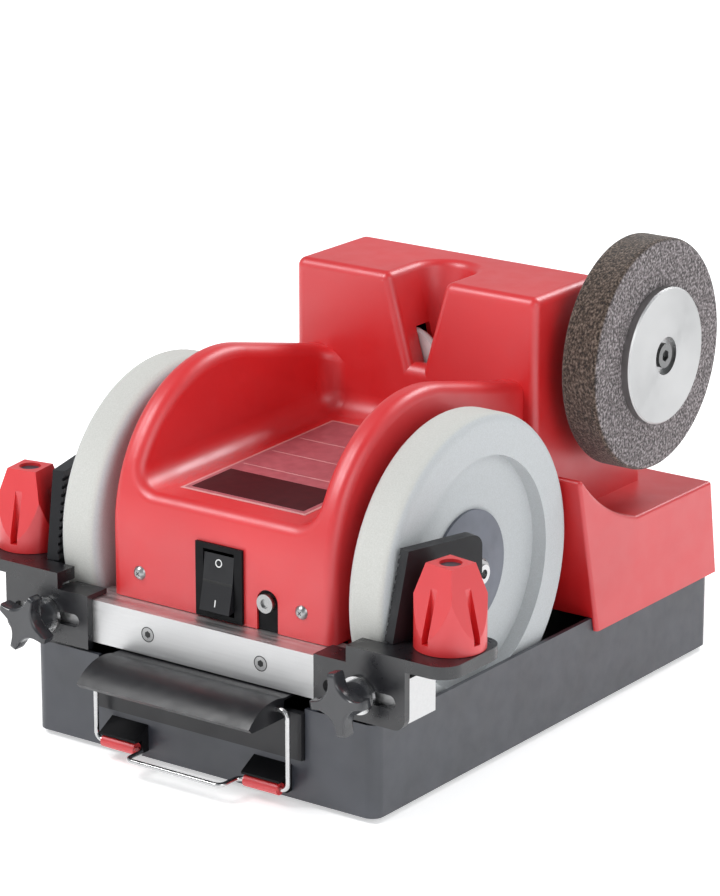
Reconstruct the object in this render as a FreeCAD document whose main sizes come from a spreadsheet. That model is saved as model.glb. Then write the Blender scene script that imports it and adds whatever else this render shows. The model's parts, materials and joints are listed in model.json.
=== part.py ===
import FreeCAD, Part
import math
import os
import re
import Sketcher
from FreeCAD import Placement, Rotation, Vector

# Two-wheel wet knife grinder with a polishing wheel and a V-shaped honing slot.
# Lengths are millimetres. X runs to the operator's right, Y to the back, Z up.
# Heights are counted from the underside of the base, depths from its front wall.
SIZES = {
    # base box and feet
    "origin_from_front": 180, "base_width": 266, "base_depth": 386, "base_height": 60, "base_wall": 3,
    "base_corner": 8, "foot_height": 3, "foot_radius": 10, "foot_inset": 24,
    # front drawer with its lip, wire bail and catches
    "drawer_half": 80, "drawer_low": 27, "drawer_top": 57, "drawer_length": 88, "drawer_wall": 2.5,
    "drawer_gap": 0.5, "panel_thick": 3, "lip_half": 67, "lip_reach": 38, "lip_top": 65, "lip_low": 55,
    "lip_round": 34, "lip_wall": 3,
    "wire_radius": 1.6, "bail_half": 75, "bail_y": 10, "bail_pivot_z": 60, "bail_low_z": 8.7,
    "bail_bend": 5, "bail_loop_half": 37, "bail_loop_reach": 18, "sleeve_radius": 4, "sleeve_from": 43,
    "sleeve_to": 69, "fit_gap": 0.05, "catch_top": 22, "catch_reach": 13, "catch_gap": 0.6,
    # grinding wheels and their shaft
    "wheel_radius": 100, "wheel_thick": 30, "wheel_clear": 6, "wheel_axis_y": 118,
    "wheel_axis_z": 123, "wheel_recess_radius": 74, "wheel_recess_depth": 10, "wheel_edge": 7,
    "wheel_gap": 2.5,
    "shaft_radius": 6, "flange_radius": 38.5, "flange_thick": 4, "nut_width": 19, "nut_thick": 8,
    "shaft_tip": 1.5, "housing_radius": 18, "nut_bevel": 1.5, "centre_radius": 3, "centre_depth": 6,
    # chassis that carries the shafts, the bar and the honing rollers
    "chassis_plate": 4, "chassis_inset": 26, "chassis_front_y": 40, "chassis_step_y": 100,
    "chassis_back_y": 338, "chassis_post_y": 290,
    # moulded cover
    "cover_wall": 3, "cover_gap": 0.4, "wheel_shield": 11, "fender_radius": 97.5, "fender_width": 18,
    "fender_axis_z": 137, "fender_lean": 13, "tray_cove": 14,
    "front_wall_y": 20.5, "tray_floor_z": 164, "tray_rise": 6, "block_front_y": 226,
    "block_top_z": 268.5, "block_back_y": 300, "block_inset": 38, "hump_y": 354, "hump_z": 220,
    "block_foot_y": 360, "skirt_overlap": 9, "skirt_front_y": 240, "skirt_peak_y": 214,
    "skirt_peak_z": 165,
    "ledge_z": 117, "scoop_radius": 130, "scoop_y": 286, "skirt_round": 2.5, "ledge_back_y": 380,
    "slot_x": 2, "slot_half": 23, "slot_foot": 3,
    "slot_depth": 67.5, "slot_back_y": 280, "round_large": 6, "round_small": 7, "tray_round": 8,
    # front bar and its screws
    "bar_half": 154, "bar_front_y": 4, "bar_low_z": 66, "bar_height": 28, "bar_depth": 28,
    "bar_screw_x": 44, "bar_screw_head": 4.7, "bar_screw_radius": 2.5, "bar_socket_radius": 1.5,
    "bar_screw_length": 36,
    "cover_screw_x": 63, "cover_screw_z": 112, "cover_screw_head": 4.6, "cover_screw_radius": 2,
    "cover_screw_length": 12,
    # switch and reset button
    "switch_x": 1, "switch_z": 119, "switch_width": 30, "switch_tall": 42, "switch_rim": 3,
    "switch_proud": 2, "switch_depth": 26, "rocker_rise": 1, "rocker_proud": 5, "rocker_depth": 14,
    "reset_recess": 1.5, "button_dish": 3, "rocker_gap": 0.5, "reset_x": 37,
    "reset_z": 113, "reset_radius": 8, "reset_depth": 16, "button_radius": 6, "button_proud": 3,
    # guide brackets, angle knobs and angle guides
    "bracket_plate": 5, "bracket_in": 88, "bracket_step": 112, "bracket_out": 155, "bracket_low": 62,
    "bracket_top": 108, "bracket_drop": 10.5, "bracket_corner": 8, "slide_gap": 0.3, "shelf_rim": 23,
    "shelf_back": 60, "shelf_thick": 8, "shelf_corner": 14, "slot_from": 95, "slot_to": 148,
    "slot_radius": 4.3, "stud_radius": 4, "stud_x": 122, "stud_z": 79, "stud_reach": 26,
    "knob_stand": 33, "knob_y": 34, "knob_radius": 22, "knob_height": 52,
    "facet_low": 9, "facet_top": 10.5, "knob_turn": 9,
    "finger_low": 5.5, "finger_floor": 14, "finger_wide": 5, "cap_radius": 7, "cap_depth": 4,
    "gusset_in": 141, "gusset_wide": 10, "gusset_drop": 20,
    "spindle_radius": 5, "guide_clear": 3, "guide_y": 29, "guide_angle": 15.8,
    "guide_length": 57, "guide_thick": 8, "guide_top_z": 164, "guide_lean": 12, "guide_pin_radius": 3,
    "guide_pin_y": 14, "guide_ribs": 10, "guide_rib_deep": 1.1,
    # star knobs
    "star_radius": 20, "star_bite": 11, "star_thick": 12, "star_dish": 2.5, "star_bevel": 2,
    "star_y": 20,
    "washer_radius": 12, "washer_thick": 2.5, "neck_radius": 8,
    # polishing wheel and its shaft
    "polish_radius": 76, "polish_thick": 26, "polish_stand": 39, "polish_axis_y": 311,
    "polish_axis_z": 220, "polish_flange_radius": 45, "polish_flange_thick": 6, "polish_edge": 3,
    "polish_bevel": 1,
    "polish_sink": 4, "polish_sink_radius": 12.5,
    "polish_shaft_radius": 7, "polish_shaft_in": 26, "polish_housing_radius": 15,
    "socket_screw_radius": 8,
    "socket_screw_thick": 3.5,
    # honing rollers in the slot
    "roller_radius": 30, "roller_thick": 6, "roller_spread": 21, "roller_z": 200, "roller_y": 244,
    "roller_pin": 4, "roller_gap": 1, "roller_bevel": 1, "roller_plate_y": 262, "roller_plate_half": 40,
    # motor and belts
    "motor_y": 290, "motor_z": 72, "motor_radius": 46, "motor_inset": 24,
    "motor_shaft_radius": 6, "motor_pulley_radius": 14, "drive_pulley_radius": 32,
    "polish_pulley_radius": 18, "belt_thick": 3, "belt_width": 7, "pulley_rim": 2, "belt_gap": 0.4,
    "drive_belt_inset": 7.5, "polish_belt_inset": 17.5, "cradle_width": 60, "gland_radius": 8,
    "gland_length": 12,
    "gland_x": 90,
}

CLOSE = 0.01
FACETS = 4

doc = FreeCAD.newDocument("knife_grinder")
sheet = doc.addObject("Spreadsheet::Sheet", "Sizes")
for row, (alias, size) in enumerate(SIZES.items(), start=1):
    sheet.set(f"A{row}", alias)
    sheet.set(f"B{row}", str(size))
    sheet.setAlias(f"B{row}", alias)
doc.recompute()

# Places that several pieces share, written once in terms of the sizes.
PLACES = {
    "y0": "(-origin_from_front)",
    "z0": "foot_height",
    "wheel_y": "(y0 + wheel_axis_y)",
    "wheel_z": "(z0 + wheel_axis_z)",
    "wheel_outer_x": "(base_width / 2 - wheel_clear)",
    "wheel_inner_x": "(wheel_outer_x - wheel_thick)",
    "body_half": "(wheel_inner_x - wheel_shield)",
    "block_half": "(base_width / 2 - block_inset)",
    "chassis_x": "(body_half - chassis_inset)",
    "drive_belt_x": "(chassis_x - drive_belt_inset)",
    "polish_belt_x": "(chassis_x - polish_belt_inset)",
    "motor_right_x": "(chassis_x - motor_inset)",
    "motor_length": "(motor_right_x + chassis_x)",
    "polish_outer_x": "(block_half + polish_stand)",
    "guide_x": "(wheel_outer_x + guide_clear)",
    "knob_x": "(guide_x + knob_stand)",
    "shelf_out": "(knob_x + shelf_rim)",
    "polish_y": "(y0 + polish_axis_y)",
    "polish_z": "(z0 + polish_axis_z)",
    "polish_inner_x": "(polish_outer_x - polish_thick)",
    "motor_axis_y": "(y0 + motor_y)",
    "motor_axis_z": "(z0 + motor_z)",
    "floor_z": "(z0 + base_wall)",
    "base_top": "(z0 + base_height)",
    "base_back": "(y0 + base_depth)",
    "bar_front": "(y0 + bar_front_y)",
    "bar_back": "(bar_front + bar_depth)",
    "bar_low": "(z0 + bar_low_z)",
    "bar_top": "(bar_low + bar_height)",
    "wall_front": "(y0 + front_wall_y)",
    "block_front": "(y0 + block_front_y)",
    "block_top": "(z0 + block_top_z)",
    "skirt_half": "(base_width / 2 + cover_gap + cover_wall)",
    "skirt_low": "(base_top - skirt_overlap)",
    "skirt_back": "(base_back + cover_gap + cover_wall)",
    "slot_low": "(block_top - slot_depth)",
    "bail_plane": "(y0 - bail_y)",
    "bail_pivot": "(z0 + bail_pivot_z)",
    "bail_low": "(z0 + bail_low_z)",
    "stud_height": "(z0 + stud_z)",
    "bracket_back": "(bar_front - slide_gap)",
    "bracket_face": "(bracket_back - bracket_plate)",
    "shelf_top": "(z0 + bracket_top)",
    "knob_low": "(shelf_top + slide_gap)",
    "guide_low": "(shelf_top + slide_gap)",
    "reset_height": "(z0 + reset_z)",
    "switch_height": "(z0 + switch_z)",
    "roller_height": "(z0 + roller_z)",
}
WORD = re.compile(r"[A-Za-z_][A-Za-z_0-9]*")


def formula(text):
    """An expression over the sheet's cells, with the shared places written out."""
    def swap(match):
        word = match.group(0)
        if word in PLACES:
            return formula(PLACES[word])
        return f"Sizes.{word}" if word in SIZES else word

    return WORD.sub(swap, str(text))


def value(text):
    """The number that an expression has now."""
    return float(sheet.evalExpression(formula(text)))


nodes = {}


def bind(thing, **expressions):
    """Ties properties to expressions; a double underscore in a name stands for a dot."""
    for name, text in expressions.items():
        thing.setExpression(name.replace("__", "."), formula(text))
    return thing


def place(thing, x="0", y="0", z="0"):
    return bind(thing, Placement__Base__x=x, Placement__Base__y=y, Placement__Base__z=z)


def node(name, thing):
    """Marks a document object as one finished piece."""
    thing.Label = name
    nodes[name] = thing
    return thing


def box(name, low, high):
    """A block from its low corner to its high corner."""
    thing = doc.addObject("Part::Box", name)
    bind(thing, Length=f"({high[0]}) - ({low[0]})", Width=f"({high[1]}) - ({low[1]})")
    bind(thing, Height=f"({high[2]}) - ({low[2]})")
    return place(thing, *low)


TURNS = {"X": Rotation(Vector(0, 1, 0), 90), "Y": Rotation(Vector(1, 0, 0), -90), "Z": Rotation()}


def rod(name, axis, start, radius, length):
    """A cylinder from its start point along X, Y or Z."""
    thing = doc.addObject("Part::Cylinder", name)
    thing.Placement = Placement(Vector(), TURNS[axis])
    bind(thing, Radius=radius, Height=length)
    return place(thing, *start)


def fuse(name, *things):
    thing = doc.addObject("Part::MultiFuse", name)
    thing.Shapes = list(things)
    return thing


def cut(name, base, *tools):
    thing = doc.addObject("Part::Cut", name)
    thing.Base = base
    thing.Tool = tools[0] if len(tools) == 1 else fuse(name + "_tools", *tools)
    return thing


def common(name, base, tool):
    thing = doc.addObject("Part::Common", name)
    thing.Base = base
    thing.Tool = tool
    return thing


def group(name, *things):
    """Several separate solids kept as one piece."""
    thing = doc.addObject("Part::Compound", name)
    thing.Links = list(things)
    return thing


def mirrored(name, source):
    """The piece's twin on the other side of the machine."""
    thing = doc.addObject("Part::Mirroring", name)
    thing.Source = source
    thing.Normal = Vector(1, 0, 0)
    return thing


PLANES = {"XY": "XY_Plane", "XZ": "XZ_Plane", "YZ": "YZ_Plane"}


def sketch(body, plane, outline, offset="0"):
    """A closed outline of expressions: (u, v) joins by a line, (u, v, radius) by an arc of that radius."""
    made = body.newObject("Sketcher::SketchObject", body.Name + "_outline")
    origin = [f for f in body.Origin.OriginFeatures if f.Role == PLANES[plane]][0]
    made.AttachmentSupport = (origin, "")
    made.MapMode = "FlatFace"
    bind(made, AttachmentOffset__Base__z=offset)
    corners = [Vector(value(p[0]), value(p[1]), 0) for p in outline]
    count = len(outline)
    for i, point in enumerate(outline):
        start = corners[i - 1]
        end = corners[i]
        if len(point) == 3:
            made.addGeometry(arc_between(start, end, value(point[2])), False)
        else:
            made.addGeometry(Part.LineSegment(start, end), False)
    for i, point in enumerate(outline):
        if len(point) == 3:
            left = value(point[2]) > 0
            end_of_this = 2 if left else 1
            start_of_this = 1 if left else 2
        else:
            end_of_this, start_of_this = 2, 1
        following = outline[(i + 1) % count]
        start_of_next = 2 if len(following) == 3 and value(following[2]) < 0 else 1
        made.addConstraint(Sketcher.Constraint("Coincident", i, end_of_this, (i + 1) % count,
                                               start_of_next))
        for kind, text in (("DistanceX", point[0]), ("DistanceY", point[1])):
            index = made.addConstraint(Sketcher.Constraint(kind, -1, 1, i, end_of_this, value(text)))
            made.setExpression(f"Constraints[{index}]", formula(text))
        if len(point) == 3:
            size = abs(value(point[2]))
            index = made.addConstraint(Sketcher.Constraint("Radius", i, size))
            made.setExpression(f"Constraints[{index}]", f"abs({formula(point[2])})")
    return made


def arc_between(start, end, radius):
    """The short arc from start to end that bulges to the right of the way for a positive radius."""
    middle = (start + end) * 0.5
    way = end - start
    side = Vector(way.y, -way.x, 0).normalize()
    rise = math.sqrt(max(radius * radius - way.Length ** 2 / 4, 0))
    sign = 1 if radius > 0 else -1
    centre = middle - side * (rise * sign)
    top = centre + side * (abs(radius) * sign)
    return Part.Arc(start, top, end)


def extrusion(name, plane, outline, length, offset="0", both=False):
    """A body with one padded outline."""
    body = doc.addObject("PartDesign::Body", name)
    made = sketch(body, plane, outline, offset)
    pad = body.newObject("PartDesign::Pad", name + "_pad")
    pad.Profile = made
    pad.Midplane = both
    bind(pad, Length=length)
    return body


def turned(name, axis, centre, outline):
    """A body turned about an axis along X, Y or Z: the outline is (along the axis, radius) pairs."""
    body = doc.addObject("PartDesign::Body", name)
    made = sketch(body, "XY", outline)
    spin = body.newObject("PartDesign::Revolution", name + "_turn")
    spin.Profile = made
    spin.ReferenceAxis = (made, ["H_Axis"])
    spin.Angle = 360
    body.Placement = Placement(Vector(), {"X": Rotation(), "Y": Rotation(Vector(0, 0, 1), 90),
                                          "Z": Rotation(Vector(0, 1, 0), -90)}[axis])
    return place(body, *centre)


def rounded(name, base, radius, wanted):
    """Rounds those edges of a piece that the test picks."""
    doc.recompute()
    thing = doc.addObject("Part::Fillet", name)
    thing.Base = base
    size = value(radius)
    picked = [i for i, edge in enumerate(base.Shape.Edges, start=1) if wanted(edge)]
    thing.Edges = [(i, size, size) for i in picked]
    return thing


def along(edge, axis):
    """True for a straight edge along X, Y or Z."""
    if not isinstance(edge.Curve, Part.Line):
        return False
    way = edge.Curve.Direction
    return abs(abs(getattr(way, axis.lower())) - 1) < 1e-6


def slab(name, half_x, y_low, y_high, z_low, z_high, corner):
    """A block with its upright corners rounded."""
    block = box(name + "_block", (f"-({half_x})", y_low, z_low), (half_x, y_high, z_high))
    return rounded(name, block, corner, lambda edge: along(edge, "Z"))


# Base box, feet and the front drawer
def make_base():
    shell = slab("base_block", "base_width / 2", "y0", "base_back", "z0", "base_top", "base_corner")
    hollow = slab("base_hollow", "base_width / 2 - base_wall", "y0 + base_wall",
                  "base_back - base_wall",
                  "floor_z", "base_top + base_wall", "base_corner - base_wall")
    mouth = box("drawer_mouth", ("-drawer_half - drawer_gap", "y0 - base_wall",
                                 "z0 + drawer_low - drawer_gap"),
                ("drawer_half + drawer_gap", "y0 + 2 * base_wall", "base_top + base_wall"))
    gland_hole = rod("gland_hole", "Y", ("gland_x", "base_back - 2 * base_wall",
                                         "z0 + base_height / 2"),
                     "gland_radius - base_wall", "4 * base_wall")
    runners = []
    for side in (-1, 1):
        low_x = "drawer_half - 2 * base_wall" if side > 0 else "-drawer_half - base_wall"
        high_x = "drawer_half + base_wall" if side > 0 else "-drawer_half + 2 * base_wall"
        runners.append(box("runner", (low_x, "y0 + base_wall", "floor_z"),
                           (high_x, "y0 + drawer_length", "z0 + drawer_low")))
    node("base_housing", fuse("base_housing", cut("base_shell", shell, hollow, mouth, gland_hole),
                              *runners))
    feet = []
    for x in ("-base_width / 2 + foot_inset", "base_width / 2 - foot_inset"):
        for y in ("y0 + foot_inset", "base_back - foot_inset"):
            feet.append(rod("foot", "Z", (x, y, "0"), "foot_radius", "foot_height"))
    node("rubber_feet", group("rubber_feet", *feet))
    gland = turned("cable_gland", "Y", ("gland_x", "base_back", "z0 + base_height / 2"), [
        ("0", "0"), ("gland_length", "0"), ("gland_length", "gland_radius - base_wall / 2"),
        ("gland_length / 2", "gland_radius"), ("0", "gland_radius")])
    node("cable_gland", gland)


def make_drawer():
    low, top = "z0 + drawer_low", "z0 + drawer_top"
    back = "y0 + drawer_length"
    pan = box("pan_block", ("-drawer_half", "y0", low), ("drawer_half", back, top))
    hollow = box("pan_hollow", ("-drawer_half + drawer_wall", "y0 + drawer_wall",
                                f"{low} + drawer_wall"),
                 ("drawer_half - drawer_wall", f"{back} - drawer_wall", f"{top} + drawer_wall"))
    panel = box("panel", ("-drawer_half", "y0 - panel_thick", low), ("drawer_half", "y0", top))
    node("drawer", cut("drawer", fuse("pan", pan, panel), hollow))
    lip = extrusion("drawer_lip", "YZ", [
        ("y0 - panel_thick", "z0 + lip_top"),
        ("y0 - lip_reach", "z0 + lip_low", "lip_round"),
        ("y0 - lip_reach + lip_wall", "z0 + lip_low - lip_wall"),
        ("y0 - panel_thick", "z0 + lip_low - lip_wall")], "2 * lip_half", both=True)
    hollow = extrusion("lip_hollow", "YZ", [
        ("y0 - panel_thick - lip_wall", "z0 + lip_top - lip_wall"),
        ("y0 - lip_reach + 2 * lip_wall", "z0 + lip_low - lip_wall", "lip_round"),
        ("y0 - lip_reach + 2 * lip_wall", "z0 + lip_low - 2 * lip_wall"),
        ("y0 - panel_thick - lip_wall", "z0 + lip_low - 2 * lip_wall")], "2 * (lip_half - lip_wall)",
        both=True)
    sockets = rod("pivot_holes", "X", ("-lip_half - lip_wall", "bail_plane", "bail_pivot"),
                  "wire_radius + fit_gap", "2 * (lip_half + lip_wall)")
    node("drawer_lip", cut("drawer_lip_shell", lip, hollow, sockets))


def bent_wire(points, bend, radius):
    """A round wire along straight runs joined by equal bends."""
    edges = []
    start = points[0]
    for i in range(1, len(points) - 1):
        into = (points[i] - points[i - 1]).normalize()
        out = (points[i + 1] - points[i]).normalize()
        before = points[i] - into * bend
        after = points[i] + out * bend
        centre = before + out * bend
        middle = centre + (points[i] - centre).normalize() * bend
        edges.append(Part.LineSegment(start, before).toShape())
        edges.append(Part.Arc(before, middle, after).toShape())
        start = after
    edges.append(Part.LineSegment(start, points[-1]).toShape())
    path = Part.Wire(edges)
    section = Part.Wire(Part.Circle(points[0], points[1] - points[0], radius).toShape())
    return path.makePipeShell([section], True, False)


def make_bail():
    side, low, pivot = value("bail_half"), value("bail_low"), value("bail_pivot")
    plane, reach = value("bail_plane"), value("bail_plane - bail_loop_reach")
    loop, entry = value("bail_loop_half"), value("lip_half - lip_wall")
    right = [Vector(entry, plane, pivot), Vector(side, plane, pivot), Vector(side, plane, low),
             Vector(loop, plane, low), Vector(loop, reach, low)]
    left = [Vector(-p.x, p.y, p.z) for p in reversed(right)]
    wire = doc.addObject("Part::Feature", "bail_wire")
    wire.Shape = bent_wire(right + left, value("bail_bend"), value("wire_radius"))
    node("bail_wire", wire)
    sleeves, catches = [], []
    for side in (-1, 1):
        start = "sleeve_from" if side > 0 else "-sleeve_to"
        tube = rod("sleeve_tube", "X", (start, "bail_plane", "bail_low"), "sleeve_radius",
                   "sleeve_to - sleeve_from")
        bore = rod("sleeve_bore", "X", (f"{start} - sleeve_radius", "bail_plane", "bail_low"),
                   "wire_radius",
                   "sleeve_to - sleeve_from + 2 * sleeve_radius")
        sleeves.append(cut("sleeve", tube, bore))
        jaw = "bail_low + sleeve_radius + catch_gap"
        hook = extrusion("catch", "YZ", [
            ("y0", "z0 + catch_top"), ("y0 - catch_reach", f"{jaw} + base_wall / 2"),
            ("y0 - catch_reach", jaw),
            ("bail_plane + sleeve_radius + catch_gap", jaw),
            ("bail_plane + sleeve_radius + catch_gap", "bail_low - sleeve_radius"),
            ("y0", "bail_low - sleeve_radius")], "sleeve_to - sleeve_from + base_wall",
            offset=f"{start} - base_wall / 2")
        catches.append(hook)
    node("bail_sleeves", group("bail_sleeves", *sleeves))
    node("catches", group("catches", *catches))


# Chassis and bearing housings
def make_chassis():
    deck = box("deck", ("-chassis_x - chassis_plate", "y0 + chassis_step_y", "floor_z"),
               ("chassis_x + chassis_plate", "y0 + chassis_back_y", "floor_z + chassis_plate"))
    cheeks = []
    for side in (-1, 1):
        outline = [
            ("y0 + chassis_front_y", "bar_low"), ("y0 + chassis_step_y", "bar_low"),
            ("y0 + chassis_step_y", "floor_z"), ("y0 + chassis_back_y", "floor_z"),
            ("y0 + chassis_back_y", "polish_z"), ("polish_y",
                                                  "polish_z + polish_housing_radius + chassis_plate"),
            ("y0 + chassis_post_y", "polish_z"), ("y0 + chassis_post_y - chassis_plate",
                                                  "wheel_z + housing_radius"),
            ("wheel_y", "wheel_z + 2 * housing_radius"), ("y0 + chassis_front_y", "bar_top")]
        start = "chassis_x" if side > 0 else "-chassis_x - chassis_plate"
        cheeks.append(extrusion("cheek", "YZ", outline, "chassis_plate", offset=start))
    beam = box("beam", ("-chassis_x - chassis_plate", "bar_back", "bar_low"),
               ("chassis_x + chassis_plate", "y0 + chassis_front_y", "bar_top"))
    roller_plate = box("roller_plate", ("slot_x - roller_plate_half", "y0 + roller_plate_y",
                                        "roller_height - roller_plate_half / 2"),
                       ("chassis_x", "y0 + roller_plate_y + chassis_plate",
                        "roller_height + 3 * roller_pin"))
    roller_leg = box("roller_leg", ("chassis_x - 2 * chassis_plate", "y0 + roller_plate_y", "wheel_z"),
                     ("chassis_x", "y0 + roller_plate_y + chassis_plate", "roller_height"))
    wheel_bore = rod("wheel_bore", "X", ("-wheel_outer_x", "wheel_y", "wheel_z"),
                     "shaft_radius + fit_gap", "2 * wheel_outer_x")
    polish_bore = rod("polish_bore", "X", ("0", "polish_y", "polish_z"),
                      "polish_shaft_radius + fit_gap", "wheel_outer_x")
    screw_holes = [rod("screw_hole", "Y", (f"{s}bar_screw_x", "bar_back - bar_depth",
                                           "bar_low + bar_height / 2"),
                       "bar_screw_radius", "bar_depth + bar_screw_length") for s in ("", "-")]
    chassis = cut("chassis", fuse("chassis_plates", deck, beam, roller_plate, roller_leg, *cheeks),
                  wheel_bore, polish_bore,
                  wedge("plate_notch", "(cover_wall + cover_gap)", "y0 + slot_back_y + cover_wall"),
                  *screw_holes)
    node("chassis", chassis)
    for name, start in (("left", "-body_half + cover_wall"), ("right", "chassis_x + chassis_plate")):
        length = "body_half - cover_wall - chassis_x - chassis_plate"
        tube = rod("housing", "X", (start, "wheel_y", "wheel_z"), "housing_radius", length)
        bore = rod("housing_bore", "X", ("-wheel_outer_x", "wheel_y", "wheel_z"),
                   "shaft_radius + fit_gap", "2 * wheel_outer_x")
        node(f"shaft_bearing_{name}", cut(f"shaft_bearing_{name}", tube, bore))
    tube = rod("polish_tube", "X", ("chassis_x + chassis_plate", "polish_y", "polish_z"),
               "polish_housing_radius",
               "block_half - cover_wall - chassis_x - chassis_plate")
    bore = rod("polish_tube_bore", "X", ("0", "polish_y", "polish_z"), "polish_shaft_radius + fit_gap",
               "wheel_outer_x")
    node("polish_bearing", cut("polish_bearing", tube, bore))


# Moulded cover: one form at full size less the same form set in by the wall
def tray_cutter(name, grow):
    """The tray's hollow between the fenders, with a coved floor, grown by a distance."""
    floor = f"z0 + tray_floor_z - {grow}"
    room = extrusion(name + "_room", "YZ", [
        ("wall_front - fender_radius", floor), ("wall_front", floor),
        (f"block_front + {grow}", f"{floor} + tray_rise"),
        (f"block_front + {grow}", "block_top + fender_radius"),
        ("wall_front - fender_radius", "block_top + fender_radius")],
        f"2 * (body_half - fender_width + {grow})", both=True)
    front = value("wall_front - fender_radius")
    top = value("block_top + fender_radius")
    return rounded(name, room, f"tray_cove + {grow}", lambda edge: edge.BoundBox.YMax > front + CLOSE
                   and edge.BoundBox.ZMin < top - CLOSE
                   and not (along(edge, "X") and edge.BoundBox.YMax < value("block_front") - CLOSE))


def arch(name, inset, low):
    """The front body's side form: upright front, round fender crown, straight tail into the block."""
    radius = f"(fender_radius - {inset})"
    axis = "z0 + fender_axis_z"
    lean = "fender_lean * 1deg"
    tail = "(block_front + 4 * cover_wall)"
    turn_y = f"(wheel_y + {radius} * sin({lean}))"
    turn_z = f"({axis} + {radius} * cos({lean}))"
    return extrusion(name, "YZ", [
        (f"wheel_y - {radius}", low), (tail, low), (tail,
                                                    f"{turn_z} - ({tail} - {turn_y}) * tan({lean})"),
        (turn_y, turn_z), ("wheel_y", f"{axis} + {radius}", radius),
        (f"wheel_y - {radius}", axis, radius)],
        f"2 * (body_half - {inset})", both=True)


def block_and_skirt(name, inset, low):
    """The honing block behind the tray and the wide rear skirt, set in by a distance."""
    rear = "y0 + block_foot_y"
    block = extrusion(name + "_block", "YZ", [
        (f"block_front + {inset}", low), (f"{rear} - {inset}", low),
        (f"y0 + hump_y - {inset}", f"z0 + hump_z - {inset} / 2"),
        (f"y0 + block_back_y - {inset} / 2", f"block_top - {inset}"),
        (f"block_front + {inset}", f"block_top - {inset}")],
        f"2 * (block_half - {inset})", both=True)
    skirt = extrusion(name + "_skirt", "YZ", [
        (f"y0 + skirt_front_y + {inset}", low), (f"skirt_back - {inset}", low),
        (f"y0 + ledge_back_y - {inset}", f"z0 + ledge_z - {inset}"),
        ("y0 + scoop_y", f"z0 + ledge_z - {inset}"),
        (f"y0 + skirt_peak_y + 3 * {inset}", f"z0 + skirt_peak_z - 5 * {inset}",
         "-(scoop_radius + cover_wall)")],
        f"2 * (skirt_half - {inset})", both=True)
    return block, skirt


def soften(name, thing, low, radius, wanted=lambda edge: True):
    """Rounds the edges of a moulding that stand clear of its open foot."""
    foot = value(low)
    return rounded(name, thing, radius, lambda edge: edge.BoundBox.ZMax > foot + value(radius)
                   and wanted(edge))


def off_scoop_end(edge):
    """False for the inner edge where the skirt's scoop runs out into its ledge."""
    return not (along(edge, "X") and abs(edge.BoundBox.YMin - value("y0 + scoop_y")) < CLOSE)


def on_fender(edge):
    """True for the edges that run along a fender's crown or down its front."""
    box_of = edge.BoundBox
    flat = box_of.XLength < CLOSE
    side = abs(abs(box_of.XMin) - value("body_half")) < CLOSE
    return flat and side and box_of.YMax < value("block_front + 4 * cover_wall") - CLOSE


def in_tray(edge):
    """True for the crown edges on the tray's side and the tray's front edge."""
    box_of = edge.BoundBox
    inside = max(abs(box_of.XMin), abs(box_of.XMax)) < value("body_half - fender_width") + CLOSE
    ahead = box_of.YMax < value("block_front - tray_cove") + CLOSE
    return inside and ahead and box_of.YMin < value("wheel_y") and not along(edge,
            "Z") and not_floor(edge)


def not_floor(edge):
    """False for the seams between the tray's floor, coves and walls, which are already round."""
    return edge.Curve.TypeId != "Part::GeomLine" or along(edge, "X")


def wedge(name, grow, back):
    """The honing slot's V with its round end, grown by a distance, from before the block's front."""
    low, high = f"(slot_low - {grow})", "(block_top + cover_wall)"
    middle = f"({back} - slot_half - {grow})"
    run = extrusion(name + "_run", "XZ", [
        (f"slot_x - slot_foot - {grow}", low), (f"slot_x + slot_foot + {grow}", low),
        (f"slot_x + slot_half + {grow}", high), (f"slot_x - slot_half - {grow}", high)],
        f"{middle} - block_front + cover_wall", offset=f"-{middle}")
    end = doc.addObject("Part::Cone", name + "_end")
    bind(end, Radius1=f"slot_foot + {grow}", Radius2=f"slot_half + {grow}", Height=f"{high} - {low}")
    return fuse(name, run, place(end, "slot_x", middle, low))


def off_slot_foot(edge):
    """False for the edges at the foot of the honing slot, which stay sharp."""
    return edge.BoundBox.ZMax > value("slot_low") + CLOSE


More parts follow.
